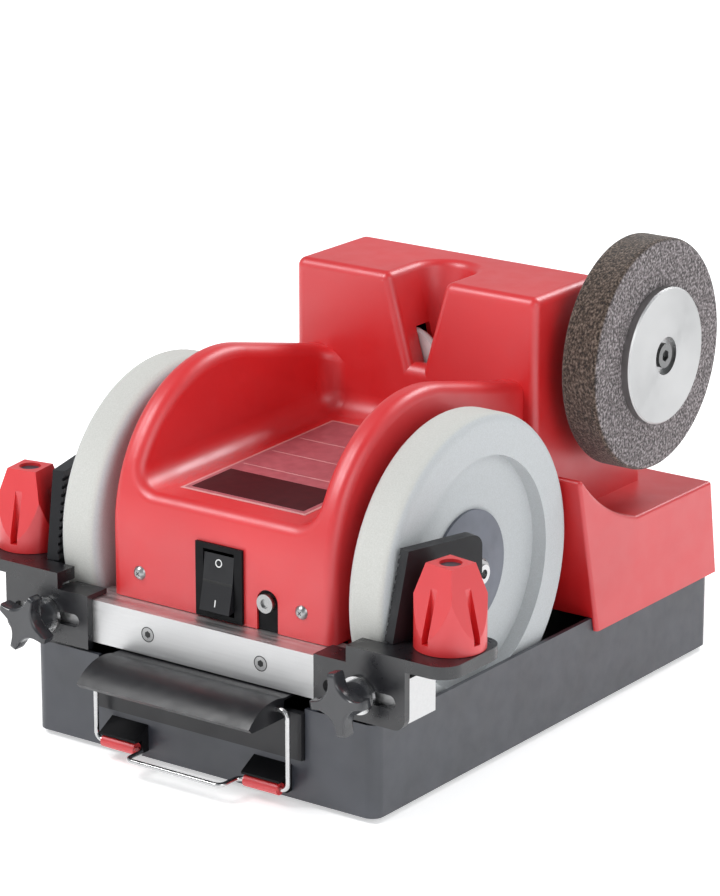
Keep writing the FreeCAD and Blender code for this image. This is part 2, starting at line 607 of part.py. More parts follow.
def make_cover():
    front = cut("arch_tray", arch("outer_arch", "0", "skirt_low"), tray_cutter("tray_cut", "0"))
    block, skirt = block_and_skirt("outer", "0", "skirt_low")
    lobes = cut("block_lobes", block, wedge("slot_cut", "0", "y0 + slot_back_y"))
    crowns = soften("soft_tray", front, "skirt_low", "tray_round", in_tray)
    outer = fuse(
        "cover_outer",
        soften("soft_arch", crowns, "skirt_low", "round_small", on_fender),
        soften("soft_block", lobes, "skirt_low", "round_large", off_slot_foot),
        soften("soft_skirt", skirt, "skirt_low", "skirt_round", off_scoop_end))
    deep = "skirt_low - 2 * cover_wall"
    inside = cut("arch_hollow", arch("inner_arch", "cover_wall", deep),
                 tray_cutter("tray_wall", "cover_wall"))
    hollow = cut("cover_hollow", fuse("cover_inner", inside,
                                      *block_and_skirt("inner", "cover_wall", deep)),
                 wedge("slot_wall", "cover_wall", "y0 + slot_back_y + cover_wall"))
    base_room = box("base_room", ("-base_width / 2 - cover_gap", "y0 - bar_depth", "0"),
                    ("base_width / 2 + cover_gap", "base_back + cover_gap", "base_top + cover_gap"))
    bar_room = box("bar_room", ("-bar_half", "y0 - bar_depth", "z0"),
                   ("bar_half", "y0 + chassis_front_y + cover_gap", "bar_top + cover_gap"))
    roller_room = box("roller_room", ("slot_x - slot_half + cover_wall", "y0 + roller_y - roller_gap",
                                      "slot_low - 2 * cover_wall"),
                      ("slot_x + slot_half - cover_wall",
                       "y0 + roller_y + 2 * roller_thick + 2 * roller_gap",
                       "roller_height + roller_radius + roller_gap"))
    shaft_hole = rod("shaft_hole", "X", ("-wheel_outer_x", "wheel_y", "wheel_z"),
                     "shaft_radius + cover_wall / 2", "2 * wheel_outer_x")
    polish_hole = rod("polish_hole", "X", ("0", "polish_y", "polish_z"),
                      "polish_shaft_radius + cover_wall / 2", "polish_outer_x")
    switch_hole = box("switch_hole", ("switch_x - switch_width / 2", "wall_front - switch_depth",
                                      "switch_height - switch_tall / 2"),
                      ("switch_x + switch_width / 2", "wall_front + switch_depth",
                       "switch_height + switch_tall / 2"))
    reset_hole = reset_notch("reset_hole", "reset_radius", "wall_front - reset_depth",
                             "2 * reset_depth")
    holes = [shaft_hole, polish_hole, switch_hole, reset_hole]
    for sign in ("", "-"):
        holes.append(rod("cover_screw_hole", "Y", (f"{sign}cover_screw_x",
                                                   "wall_front - cover_screw_length",
                                                   "z0 + cover_screw_z"),
                         "cover_screw_radius", "2 * cover_screw_length"))
    node("cover", cut("cover", outer, hollow, base_room, bar_room, roller_room, *holes))
    screws = []
    for sign in ("", "-"):
        screws.append(turned("cover_screw", "Y", (f"{sign}cover_screw_x", "wall_front",
                                                  "z0 + cover_screw_z"), [
            ("-cover_screw_head / 2", "0"), ("cover_screw_length", "0"),
            ("cover_screw_length", "cover_screw_radius"),
            ("0", "cover_screw_radius"), ("0", "cover_screw_head"),
            ("-cover_screw_head / 2", "cover_screw_head / 2", "cover_screw_head")]))
    node("cover_screws", group("cover_screws", *screws))


# Front bar with the studs of the star knobs
def make_bar():
    bar = box("bar_stock", ("-bar_half", "bar_front", "bar_low"), ("bar_half", "bar_back", "bar_top"))
    screws, sinks = [], []
    for sign in ("", "-"):
        centre = (f"{sign}bar_screw_x", "bar_front", "bar_low + bar_height / 2")
        outline = [("0", "0"), ("bar_screw_length", "0"), ("bar_screw_length", "bar_screw_radius"),
                   ("bar_screw_head - bar_screw_radius", "bar_screw_radius"), ("0", "bar_screw_head")]
        socket = rod("bar_socket", "Y", (centre[0], "bar_front - bar_screw_radius", centre[2]),
                     "bar_socket_radius", "2 * bar_screw_radius")
        screws.append(cut("bar_screw", turned("bar_screw_body", "Y", centre, outline), socket))
        sinks.append(turned("bar_sink", "Y", centre, outline))
    studs = [rod("stud", "Y", (f"{sign}stud_x", "bar_front - stud_reach", "stud_height"), "stud_radius",
                 "stud_reach + bar_depth / 2")
             for sign in ("", "-")]
    holes = [rod("stud_hole", "Y", (f"{sign}stud_x", "bar_front - stud_reach", "stud_height"),
                 "stud_radius", "stud_reach + bar_depth / 2")
             for sign in ("", "-")]
    reliefs = [rod("wheel_relief", "X", (start, "wheel_y", "wheel_z"), "wheel_radius + wheel_gap",
                   "wheel_thick + 2 * wheel_gap")
               for start in ("wheel_inner_x - wheel_gap", "-wheel_outer_x - wheel_gap")]
    node("guide_bar", cut("guide_bar", bar, *sinks, *holes, *reliefs))
    node("bar_screws", group("bar_screws", *screws))
    node("clamp_studs", group("clamp_studs", *studs))


# Grinding wheels with flanges, nuts and shaft
def make_wheels():
    wheel = turned("wheel_right", "X", ("0", "wheel_y", "wheel_z"), [
        ("wheel_inner_x", "shaft_radius"), ("wheel_outer_x - wheel_recess_depth", "shaft_radius"),
        ("wheel_outer_x - wheel_recess_depth", "wheel_recess_radius"),
        ("wheel_outer_x", "wheel_recess_radius"),
        ("wheel_outer_x", "wheel_radius - wheel_edge"),
        ("wheel_outer_x - wheel_edge", "wheel_radius", "wheel_edge"),
        ("wheel_inner_x + wheel_edge", "wheel_radius"),
        ("wheel_inner_x", "wheel_radius - wheel_edge", "wheel_edge")])
    node("grinding_wheel_right", wheel)
    node("grinding_wheel_left", mirrored("wheel_left", wheel))
    face = "wheel_outer_x - wheel_recess_depth"
    rise = "flange_thick / 2"
    outer = turned("flange_right", "X", ("0", "wheel_y", "wheel_z"), [
        (face, "shaft_radius"), (f"{face} + flange_thick", "shaft_radius"),
        (f"{face} + flange_thick", "nut_width"),
        (f"{face} + {rise}", f"flange_radius"), (face, "flange_radius")])
    inner = turned("back_flange_right", "X", ("0", "wheel_y", "wheel_z"), [
        ("wheel_inner_x - flange_thick", "shaft_radius"), ("wheel_inner_x", "shaft_radius"),
        ("wheel_inner_x", "flange_radius"), ("wheel_inner_x - flange_thick",
                                             "flange_radius - flange_thick")])
    node("wheel_flange_right", outer)
    node("wheel_flange_left", mirrored("flange_left", outer))
    node("back_flange_right", inner)
    node("back_flange_left", mirrored("back_flange_left", inner))
    nut = turned("nut_right", "X", (f"{face} + flange_thick", "wheel_y", "wheel_z"), [
        ("0", "shaft_radius"), ("nut_thick", "shaft_radius"),
        ("nut_thick", "nut_width / 2 - nut_bevel"),
        ("nut_thick - nut_bevel", "nut_width / 2"), ("0", "nut_width / 2")])
    node("wheel_nut_right", nut)
    node("wheel_nut_left", mirrored("nut_left", nut))
    tip = f"({face} + flange_thick + nut_thick + shaft_tip)"
    bar = rod("shaft_stock", "X", (f"-{tip}", "wheel_y", "wheel_z"), "shaft_radius", f"2 * {tip}")
    centres = [rod("centre_hole", "X", (start, "wheel_y", "wheel_z"), "centre_radius", "centre_depth")
               for start in (f"-{tip}", f"{tip} - centre_depth")]
    node("wheel_shaft", cut("wheel_shaft", bar, *centres))


def pulley(name, x, y, z, radius, bore):
    """A flat pulley with two rims, centred on the belt's run."""
    half = "(belt_width / 2 + belt_gap)"
    return turned(name, "X", ("0", y, z), [
        (f"{x} - {half} - pulley_rim", bore), (f"{x} + {half} + pulley_rim", bore),
        (f"{x} + {half} + pulley_rim", f"{radius} + belt_thick"),
        (f"{x} + {half}", f"{radius} + belt_thick"),
        (f"{x} + {half}", radius), (f"{x} - {half}", radius),
        (f"{x} - {half}", f"{radius} + belt_thick"),
        (f"{x} - {half} - pulley_rim", f"{radius} + belt_thick")])


def loop_face(first, first_radius, second, second_radius):
    """The face inside a line pulled tight round two circles in a plane of constant X."""
    way = second - first
    turn = math.atan2(way.z, way.y)
    lean = math.acos((first_radius - second_radius) / way.Length)
    ends = {}
    for sign in (-1, 1):
        out = Vector(0, math.cos(turn + sign * lean), math.sin(turn + sign * lean))
        ends[sign] = (first + out * first_radius, second + out * second_radius)
    along_way = way.normalize()
    edges = [Part.LineSegment(*ends[1]).toShape(),
             Part.Arc(ends[1][1], second + along_way * second_radius, ends[-1][1]).toShape(),
             Part.LineSegment(ends[-1][1], ends[-1][0]).toShape(),
             Part.Arc(ends[-1][0], first - along_way * first_radius, ends[1][0]).toShape()]
    return Part.Face(Part.Wire(edges))


def belt(name, x, first, first_radius, second, second_radius):
    """A flat belt round two pulleys, a running gap off both."""
    start = value(f"{x} - belt_width / 2")
    width, gap, thick = value("belt_width"), value("belt_gap"), value("belt_thick")
    a = Vector(start, value(first[0]), value(first[1]))
    b = Vector(start, value(second[0]), value(second[1]))
    inner, outer = (loop_face(a, value(first_radius) + grow, Vector(b), value(second_radius) + grow)
                    .extrude(Vector(width, 0, 0)) for grow in (gap, gap + thick - gap / 2))
    thing = doc.addObject("Part::Feature", name)
    thing.Shape = outer.cut(inner)
    return node(name, thing)


def make_drive():
    node("drive_pulley", pulley("drive_pulley", "drive_belt_x", "wheel_y", "wheel_z",
                                "drive_pulley_radius", "shaft_radius"))
    node("polish_pulley", pulley("polish_pulley", "polish_belt_x", "polish_y", "polish_z",
                                 "polish_pulley_radius", "polish_shaft_radius"))
    twin = [pulley("motor_pulley", x, "motor_axis_y", "motor_axis_z", "motor_pulley_radius",
                   "motor_shaft_radius")
            for x in ("drive_belt_x", "polish_belt_x")]
    node("motor_pulley", fuse("motor_pulley_pair", *twin))
    motor = ("motor_axis_y", "motor_axis_z")
    belt("drive_belt", "drive_belt_x", motor, "motor_pulley_radius", ("wheel_y", "wheel_z"),
         "drive_pulley_radius")
    belt("polish_belt", "polish_belt_x", motor, "motor_pulley_radius", ("polish_y", "polish_z"),
         "polish_pulley_radius")
    can = rod("motor_can", "X", ("motor_right_x - motor_length", *motor), "motor_radius",
              "motor_length")
    bore = rod("motor_bore", "X", ("motor_right_x - motor_length / 2", *motor),
               "motor_shaft_radius + fit_gap", "motor_length")
    node("motor", cut("motor", can, bore))
    node("motor_shaft", rod("motor_shaft", "X", ("motor_right_x - motor_length / 2 + fit_gap", *motor),
                            "motor_shaft_radius",
                            "motor_length / 2 + drive_belt_x - motor_right_x + belt_width"))
    middle = "motor_right_x - motor_length / 2"
    cradle = box("cradle_block", (f"{middle} - cradle_width / 2", "motor_axis_y - motor_radius",
                                  "floor_z + chassis_plate"),
                 (f"{middle} + cradle_width / 2", "motor_axis_y + motor_radius",
                  "motor_axis_z - motor_radius / 2"))
    room = rod("cradle_room", "X", ("motor_right_x - 2 * motor_length", *motor), "motor_radius",
               "3 * motor_length")
    node("motor_cradle", cut("motor_cradle", cradle, room))


# Polishing wheel on its own shaft
def make_polisher():
    centre = ("0", "polish_y", "polish_z")
    node("polishing_wheel", turned("polishing_wheel", "X", centre, [
        ("polish_inner_x", "polish_shaft_radius"), ("polish_outer_x", "polish_shaft_radius"),
        ("polish_outer_x", "polish_radius - polish_edge"),
        ("polish_outer_x - polish_edge", "polish_radius", "polish_edge"),
        ("polish_inner_x + polish_edge", "polish_radius"),
        ("polish_inner_x", "polish_radius - polish_edge", "polish_edge")]))
    rim = "polish_outer_x + polish_flange_thick"
    face = f"{rim} - polish_sink"
    node("polish_flange_outer", turned("polish_flange_outer", "X", centre, [
        ("polish_outer_x", "polish_shaft_radius"), (face, "polish_shaft_radius"),
        (face, "polish_sink_radius"),
        (rim, "polish_sink_radius"), (rim, "polish_flange_radius - polish_bevel"),
        (f"{rim} - polish_bevel", "polish_flange_radius"), ("polish_outer_x", "polish_flange_radius")]))
    node("polish_flange_inner", turned("polish_flange_inner", "X", centre, [
        ("polish_inner_x - polish_flange_thick", "polish_shaft_radius"),
        ("polish_inner_x", "polish_shaft_radius"),
        ("polish_inner_x", "polish_flange_radius"),
        ("polish_inner_x - polish_flange_thick", "polish_flange_radius")]))
    node("polish_shaft", rod("polish_shaft", "X", ("polish_shaft_in", *centre[1:]),
                             "polish_shaft_radius", f"{face} - polish_shaft_in"))
    head = rod("polish_screw_head", "X", (face, *centre[1:]), "socket_screw_radius",
               "socket_screw_thick")
    socket = doc.addObject("Part::Prism", "hex_socket")
    socket.Polygon = 6
    socket.Placement = Placement(Vector(), TURNS["X"])
    bind(socket, Circumradius="socket_screw_radius / 2", Height="socket_screw_thick")
    place(socket, f"{face} + socket_screw_thick / 3", *centre[1:])
    node("polish_screw", cut("polish_screw", head, socket))


# Honing rollers that cross in the slot
def make_rollers():
    pins = []
    for name, x, y in (("left", "slot_x - roller_spread", "y0 + roller_y"),
                       ("right", "slot_x + roller_spread",
                        "y0 + roller_y + roller_thick + roller_gap")):
        node(f"honing_roller_{name}", turned(f"roller_{name}", "Y", (x, y, "roller_height"), [
            ("0", "roller_pin + fit_gap"), ("roller_thick", "roller_pin + fit_gap"),
            ("roller_thick", "roller_radius - roller_bevel"),
            ("roller_thick / 2", "roller_radius"), ("0", "roller_radius - roller_bevel")]))
        pins.append(rod("roller_pin", "Y", (x, "block_front + cover_wall", "roller_height"),
                        "roller_pin",
                        "y0 + roller_plate_y - block_front - cover_wall"))
    node("roller_pins", group("roller_pins", *pins))


# Rocker switch and reset button
def make_switch():
    low, high = "switch_height - switch_tall / 2", "switch_height + switch_tall / 2"
    wide = "switch_width / 2"
    body = box("switch_body", (f"switch_x - {wide}", "wall_front - switch_proud", low),
               (f"switch_x + {wide}", "wall_front + switch_depth", high))
    rim = box("switch_rim", (f"switch_x - {wide} - switch_rim", "wall_front - switch_proud",
                             f"{low} - switch_rim"),
              (f"switch_x + {wide} + switch_rim", "wall_front", f"{high} + switch_rim"))
    well = box("switch_well", (f"switch_x - {wide} + switch_rim", "wall_front - 4 * switch_proud",
                               f"{low} + rocker_gap"),
               (f"switch_x + {wide} - switch_rim", "wall_front + switch_depth - switch_rim",
                f"{high} - rocker_gap"))
    node("switch_housing", cut("switch_housing", fuse("switch_block", body, rim), well))
    half = "(switch_tall / 2 - switch_rim)"
    front = "wall_front - switch_proud"
    paddle = extrusion("rocker", "YZ", [
        (f"{front} + rocker_rise", f"switch_height + {half}"),
        (f"{front} - rocker_rise", "switch_height"),
        (f"{front} - rocker_proud", f"switch_height - {half}"),
        (f"{front} + rocker_proud + rocker_rise", f"switch_height - {half} + 2 * rocker_rise"),
        (f"{front} + rocker_depth", "switch_height"),
        (f"{front} + rocker_depth - rocker_proud", f"switch_height + {half} - 2 * rocker_rise")],
        "switch_width - 2 * switch_rim - 2 * rocker_gap",
        offset=f"switch_x - {wide} + switch_rim + rocker_gap")
    node("rocker", paddle)
    axis = ("reset_x", "wall_front - button_proud", "reset_height")
    plate = reset_notch("reset_plate", "(reset_radius - fit_gap)", "wall_front + reset_recess",
                        "reset_depth")
    bore = rod("reset_bore", "Y", axis, "button_radius + fit_gap", "2 * reset_depth")
    node("reset_collar", cut("reset_collar", plate, bore))
    dish = rod("reset_dish", "Y", axis, "button_dish", "button_dish / 2")
    node("reset_button", cut("reset_button", rod("reset_plunger", "Y", axis, "button_radius",
                                                 "reset_depth"), dish))


def reset_notch(name, half, start, depth):
    """The reset button's opening: round above, straight-sided down to the bar."""
    crown = rod(name + "_crown", "Y", ("reset_x", start, "reset_height"), half, depth)
    leg = box(name + "_leg", (f"reset_x - {half}", start, "bar_top + cover_gap"),
              (f"reset_x + {half}", f"{start} + {depth}", "reset_height"))
    return fuse(name, crown, leg)


# Brackets that slide on the bar, with angle knobs and angle guides
def make_bracket():
    top, drop = "z0 + bracket_top", "z0 + bracket_top - bracket_drop"
    low = "z0 + bracket_low"
    plate = extrusion("bracket_face_plate", "XZ", [
        ("bracket_in", low), ("bracket_out - bracket_corner", low),
        ("bracket_out", f"{low} + bracket_corner", "bracket_corner"),
        ("bracket_out", top), ("bracket_step", top), ("bracket_step", drop), ("bracket_in", drop)],
        "bracket_plate", offset="-(bracket_back)")
    past_wheel = "wheel_outer_x + wheel_gap"
    shelf = extrusion("bracket_shelf", "XY", [
        ("bracket_step", "bracket_face"), ("shelf_out - shelf_corner", "bracket_face"),
        ("shelf_out", "bracket_face + shelf_corner", "shelf_corner"),
        ("shelf_out", "y0 + shelf_back - shelf_corner"),
        ("shelf_out - shelf_corner", "y0 + shelf_back", "shelf_corner"),
        (past_wheel, "y0 + shelf_back"),
        (past_wheel, "wheel_y - wheel_radius - wheel_gap"),
        ("bracket_step", "wheel_y - wheel_radius - wheel_gap")],
        "shelf_thick", offset=f"{top} - shelf_thick")
    lip = box("bracket_lip", ("bracket_in", "bracket_face", "bar_top + slide_gap"),
              ("bracket_step", "wall_front - wheel_gap", drop))
    web = box("bracket_web", ("bracket_step - bracket_plate / 2", "bracket_face",
                              "bar_top + slide_gap"),
              ("bracket_step + bracket_plate / 2", "wheel_y - wheel_radius - wheel_gap", drop))
    under = f"({top} - shelf_thick)"
    behind = "(bar_back + slide_gap)"
    gusset = extrusion("bracket_gusset", "YZ", [
        (behind, under), (behind, f"{under} - gusset_drop"),
        (f"{behind} + gusset_drop", under, "-gusset_drop")],
        "gusset_wide", offset="gusset_in")
    spindle = rod("knob_spindle", "Z", ("knob_x", "y0 + knob_y", f"{top} - shelf_thick"),
                  "spindle_radius", "knob_height / 2 + shelf_thick")
    slot = [rod("slot_end", "Y", (x, "bracket_face - bracket_plate", "stud_height"), "slot_radius",
                "3 * bracket_plate")
            for x in ("slot_from + slot_radius", "slot_to - slot_radius")]
    slot.append(box("slot_run", ("slot_from + slot_radius", "bracket_face - bracket_plate",
                                 "stud_height - slot_radius"),
                    ("slot_to - slot_radius", "bracket_back + bracket_plate",
                     "stud_height + slot_radius")))
    hinge_hole = rod("guide_hole", "Z", (*guide_pin(), "z0"), "guide_pin_radius + fit_gap",
                     "knob_low + bar_height")
    bracket = cut("bracket_right", fuse("bracket_sheet", plate, shelf, lip, web, gusset, spindle),
                  *slot, hinge_hole)
    node("bracket_right", bracket)
    node("bracket_left", mirrored("bracket_left", bracket))


def guide_pin():
    """Where the guide's pin stands on the shelf, part of the way along the leaning guide."""
    along_guide, across = "(guide_pin_y)", "(guide_thick / 2)"
    return (f"guide_x + {along_guide} * sin(guide_angle * 1deg) + {across} * cos(guide_angle * 1deg)",
            f"y0 + guide_y + {along_guide} * cos(guide_angle * 1deg) - {across} * sin(guide_angle * 1deg)")


def make_guide():
    tall = "(z0 + guide_top_z - guide_low)"
    plate = extrusion("guide_plate", "YZ", [
        ("-guide_lean", "0"), ("guide_length", "0"), ("guide_length", f"{tall} - guide_thick"),
        ("guide_length - guide_thick", tall, "guide_thick"), ("0", tall)], "guide_thick")
    pin = rod("guide_pivot", "Z", ("guide_thick / 2", "guide_pin_y", "-shelf_thick - slide_gap"),
              "guide_pin_radius", "2 * shelf_thick")
    grooves = []
    for i in range(round(value("guide_ribs"))):
        step = f"{tall} * {i + 1} / (guide_ribs + 1)"
        grooves.append(box("groove", ("-guide_rib_deep", "-guide_lean - guide_rib_deep",
                                      f"{step} - guide_rib_deep"),
                           ("guide_rib_deep", "guide_length + guide_rib_deep",
                            f"{step} + guide_rib_deep")))
    guide = cut("guide_right", fuse("guide_blank", plate, pin), *grooves)
    guide.Placement = Placement(Vector(), Rotation(Vector(0, 0, -1), value("guide_angle")))
    bind(guide, Placement__Rotation__Angle="guide_angle")
    place(guide, "guide_x", "y0 + guide_y", "guide_low")
    node("angle_guide_right", guide)
    node("angle_guide_left", mirrored("guide_left", guide))


def make_angle_knob():
    """A round knob planed to four leaning facets, each with a tapering finger slot."""
    axis = ("knob_x", "y0 + knob_y")
    body = turned("knob_body", "Z", (*axis, "knob_low"), [
        ("0", "spindle_radius + fit_gap"), ("knob_height / 2", "spindle_radius + fit_gap"),
        ("knob_height / 2", "0"),
        ("knob_height - cap_depth", "0"), ("knob_height - cap_depth", "cap_radius"),
        ("knob_height", "cap_radius"),
        ("knob_height", "knob_radius"), ("0", "knob_radius")])
    facets = doc.addObject("Part::Wedge", "knob_facets")
    bind(facets, Xmin="-knob_radius", Zmin="-knob_radius", Xmax="knob_radius", Zmax="knob_radius",
         Ymin="0", Ymax="knob_height - facet_low")
    bind(facets, X2min="-facet_top", Z2min="-facet_top", X2max="facet_top", Z2max="facet_top")
    facets.Placement = Placement(Vector(), Rotation(Vector(0, 0, 1),
                                                    -value("knob_turn")) * Rotation(Vector(1, 0, 0),
                                                            90))
    place(facets, *axis, "knob_low + facet_low")
    foot = rod("knob_foot", "Z", (*axis, "knob_low"), "knob_radius", "facet_low")
    planed = common("knob_planed", body, fuse("knob_envelope", facets, foot))
    slots = []
    for i in range(FACETS):
        finger = box(f"finger_slot_{i}", ("finger_floor", "-finger_wide / 2", "finger_low"),
                     ("2 * knob_radius", "finger_wide / 2", "2 * knob_height"))
        turn = doc.addObject("Part::Compound", f"finger_turn_{i}")
        turn.Links = [finger]
        turn.Placement = Placement(Vector(), Rotation(Vector(0, 0, 1),
                                                      360 / FACETS * i - value("knob_turn")))
        slots.append(place(turn, *axis, "knob_low"))
    knob = cut("knob_right", planed, *slots)
    node("angle_knob_right", knob)
    node("angle_knob_left", mirrored("knob_left", knob))
    cap = turned("cap_right", "Z", ("knob_x", "y0 + knob_y", "knob_low + knob_height - cap_depth"), [
        ("0", "0"), ("cap_depth / 2", "0"), ("cap_depth / 2", "cap_radius"), ("0", "cap_radius")])
    node("knob_cap_right", cap)
    node("knob_cap_left", mirrored("cap_left", cap))


def make_star_knob():
    back = "bracket_face - slide_gap - washer_thick"
    front = "y0 - star_y - star_thick / 2"
    blank = turned("star_blank", "Y", ("stud_x", front, "stud_height"), [
        ("star_dish", "0"), ("star_thick", "0"), ("star_thick", "neck_radius"),
        (f"{back} - ({front})", "neck_radius"),
        (f"{back} - ({front})", "star_radius / 2"), ("star_thick", "star_radius"),
        ("star_bevel", "star_radius"),
        ("0", "star_radius - star_bevel"), ("0", "neck_radius")])
    bites = []
    for i in range(4):
        turn = f"(({i} * 90 + 45) * 1deg)"
        reach = "(star_radius + star_bite / 2)"
        bites.append(rod("bite", "Y", (f"stud_x + {reach} * cos({turn})", f"{front} - star_thick",
                                       f"stud_height + {reach} * sin({turn})"),
                         "star_bite", "3 * star_thick"))
    bore = rod("star_bore", "Y", ("stud_x", f"{front} + star_dish + star_bevel / 2", "stud_height"),
               "stud_radius + fit_gap", "4 * star_thick")
    star = cut("star_right", blank, bore, *bites)
    node("star_knob_right", star)
    node("star_knob_left", mirrored("star_left", star))
    ring = rod("washer_stock", "Y", ("stud_x", back, "stud_height"), "washer_radius", "washer_thick")
    hole = rod("washer_hole", "Y", ("stud_x", f"{back} - washer_thick", "stud_height"),
               "stud_radius + fit_gap", "4 * washer_thick")
    washer = cut("washer_right", ring, hole)
    node("washer_right", washer)
    node("washer_left", mirrored("washer_left", washer))


for make in (make_base, make_drawer, make_bail, make_chassis, make_cover, make_bar, make_wheels,
             make_drive,
             make_polisher, make_rollers, make_switch, make_bracket, make_guide, make_angle_knob,
             make_star_knob):
    make()
doc.recompute()

for thing in doc.Objects:
    if {"Invalid", "Error"} & set(thing.State):
        raise RuntimeError(f"{thing.Label} did not build: {thing.State}")
os.makedirs("parts", exist_ok=True)
for name, thing in nodes.items():
    if thing.Shape.isNull() or not thing.Shape.isValid() or not thing.Shape.Solids:
        raise RuntimeError(f"{name} has no valid solid")
whole = FreeCAD.BoundBox()
for name, thing in nodes.items():
    thing.Shape.exportStep(f"parts/{name}.step")
    whole.add(thing.Shape.BoundBox)
    print(f"{name}: {len(thing.Shape.Solids)} solid, {thing.Shape.Volume / 1000:.1f} cm3")
print(f"{len(nodes)} pieces, {whole.XLength:.1f} x {whole.YLength:.1f} x {whole.ZLength:.1f} mm")
print(f"middle of the box at {whole.Center.x:.2f}, {whole.Center.y:.2f}, lowest point {whole.ZMin:.2f}")
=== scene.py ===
# %% [markdown]
# A two-wheel knife grinder, dressed for its portrait. The construction comes packed from CAD: red moulded
# cover, stone wheels, front bar, brackets, knobs, drawer and bail. This notebook adds what a camera sees
# and a drawing leaves out: the finish of every surface, the plate on the tray, switch marks, star grips,
# and painted shade in screw recesses and seams. Nothing here moves or resizes a CAD piece.

# %% Load the imported machine
import bpy
import bmesh
import json
import math
from mathutils import Euler, Matrix, Vector


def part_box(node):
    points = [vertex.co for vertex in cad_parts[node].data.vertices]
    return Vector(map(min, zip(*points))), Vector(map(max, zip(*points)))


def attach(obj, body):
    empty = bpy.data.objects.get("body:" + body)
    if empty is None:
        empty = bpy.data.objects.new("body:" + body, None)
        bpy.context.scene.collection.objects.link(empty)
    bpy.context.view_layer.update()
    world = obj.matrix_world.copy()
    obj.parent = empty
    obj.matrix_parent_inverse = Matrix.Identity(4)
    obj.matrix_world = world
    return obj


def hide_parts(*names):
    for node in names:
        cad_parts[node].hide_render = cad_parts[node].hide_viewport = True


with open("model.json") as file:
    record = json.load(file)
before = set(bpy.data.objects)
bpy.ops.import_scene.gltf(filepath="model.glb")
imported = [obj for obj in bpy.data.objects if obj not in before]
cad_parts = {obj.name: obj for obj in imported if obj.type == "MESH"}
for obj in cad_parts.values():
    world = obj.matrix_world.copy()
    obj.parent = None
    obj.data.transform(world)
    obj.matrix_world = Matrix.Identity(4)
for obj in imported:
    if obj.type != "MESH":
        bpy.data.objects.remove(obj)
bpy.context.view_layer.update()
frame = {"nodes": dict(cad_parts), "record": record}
nodes = frame["nodes"]
MM = 0.001

# %% [markdown]
# A finish starts from one Principled shader. A few small helpers keep the node trees short to read: noise on
# Object coordinates, a colour ramp, a bump. Object coordinates stay with the piece when it moves, and they
# are in metres, so a scale of 1000 means grains about a millimetre across.

# %% Helpers for finishes
def new_finish(name, rough, metallic=0.0):
    """A material with one Principled shader whose constants are set on its own sockets."""
    material = bpy.data.materials.new(name)
    material.use_nodes = True
    shader = material.node_tree.nodes["Principled BSDF"]
    shader.inputs["Roughness"].default_value = rough
    shader.inputs["Metallic"].default_value = metallic
    return material, material.node_tree, shader


def grain(tree, scale, detail=3.0, stretch=(1, 1, 1)):
    """Noise on Object coordinates, drawn out along an axis where stretch is under 1."""
    place = tree.nodes.new("ShaderNodeTexCoord")
    mapping = tree.nodes.new("ShaderNodeMapping")
    mapping.inputs["Scale"].default_value = stretch
    noise = tree.nodes.new("ShaderNodeTexNoise")
    noise.inputs["Scale"].default_value = scale
    noise.inputs["Detail"].default_value = detail
    tree.links.new(place.outputs["Object"], mapping.inputs["Vector"])
    tree.links.new(mapping.outputs["Vector"], noise.inputs["Vector"])
    return noise.outputs["Fac"]


def ramp(tree, source, *stops):
    """A colour ramp; each stop is a position and a colour."""
    node = tree.nodes.new("ShaderNodeValToRGB")
    elements = node.color_ramp.elements
    while len(elements) < len(stops):
        elements.new(0.5)
    for element, (position, colour) in zip(elements, stops):
        element.position = position
        element.color = (*colour, 1)
    tree.links.new(source, node.inputs["Fac"])
    return node.outputs["Color"]


def grey(level):
    return (level, level, level)


def relief(tree, shader, source, strength, depth):
    """Bump from a source, depth in metres."""
    node = tree.nodes.new("ShaderNodeBump")
    node.inputs["Strength"].default_value = strength
    node.inputs["Distance"].default_value = depth
    tree.links.new(source, node.inputs["Height"])
    tree.links.new(node.outputs["Normal"], shader.inputs["Normal"])


def tint(tree, shader, source, *stops):
    tree.links.new(ramp(tree, source, *stops), shader.inputs["Base Color"])


def gloss(tree, shader, source, low, high):
    """Roughness that wanders between two values."""
    tree.links.new(ramp(tree, source, (0.35, grey(low)), (0.65, grey(high))), shader.inputs["Roughness"])


def set_sheen(material, level):
    """How strongly a finished material mirrors what is around it."""
    shader = material.node_tree.nodes["Principled BSDF"]
    shader.inputs["Specular IOR Level"].default_value = level


print("finish helpers ready")

# %% [markdown]
# The cover and grips are moulded red plastic with a broad soft sheen, a faint orange peel and a slow drift in
# colour. The black pieces share one recipe and differ in depth of colour, roughness and grain.

# %% Finishes of the plastics
def red_plastic(name, rough, sheen):
    """Red moulding whose broad sheen is a little cool."""
    material, tree, shader = new_finish(name, rough)
    tint(tree, shader, grain(tree, 9, 2), (0.3, (0.60, 0.008, 0.010)), (0.7, (0.70, 0.012, 0.014)))
    gloss(tree, shader, grain(tree, 60, 4), rough - 0.04, rough + 0.05)
    relief(tree, shader, grain(tree, 900, 2), 0.05, 0.0002)
    shader.inputs["Specular IOR Level"].default_value = sheen
    shader.inputs["Specular Tint"].default_value = (0.88, 0.93, 1, 1)
    shader.inputs["Coat Weight"].default_value = 0.4
    shader.inputs["Coat Roughness"].default_value = 0.42
    return material


def moulding(name, colour, rough, peel, raised=0.10):
    """A plain moulded or painted surface: mottled colour, uneven gloss, fine orange peel."""
    material, tree, shader = new_finish(name, rough)
    dark = tuple(0.82 * channel for channel in colour)
    light = tuple(1.2 * channel for channel in colour)
    tint(tree, shader, grain(tree, 30, 4), (0.3, dark), (0.7, light))
    gloss(tree, shader, grain(tree, 90, 5), rough - 0.05, rough + 0.07)
    relief(tree, shader, grain(tree, peel, 3), raised, 0.0002)
    return material


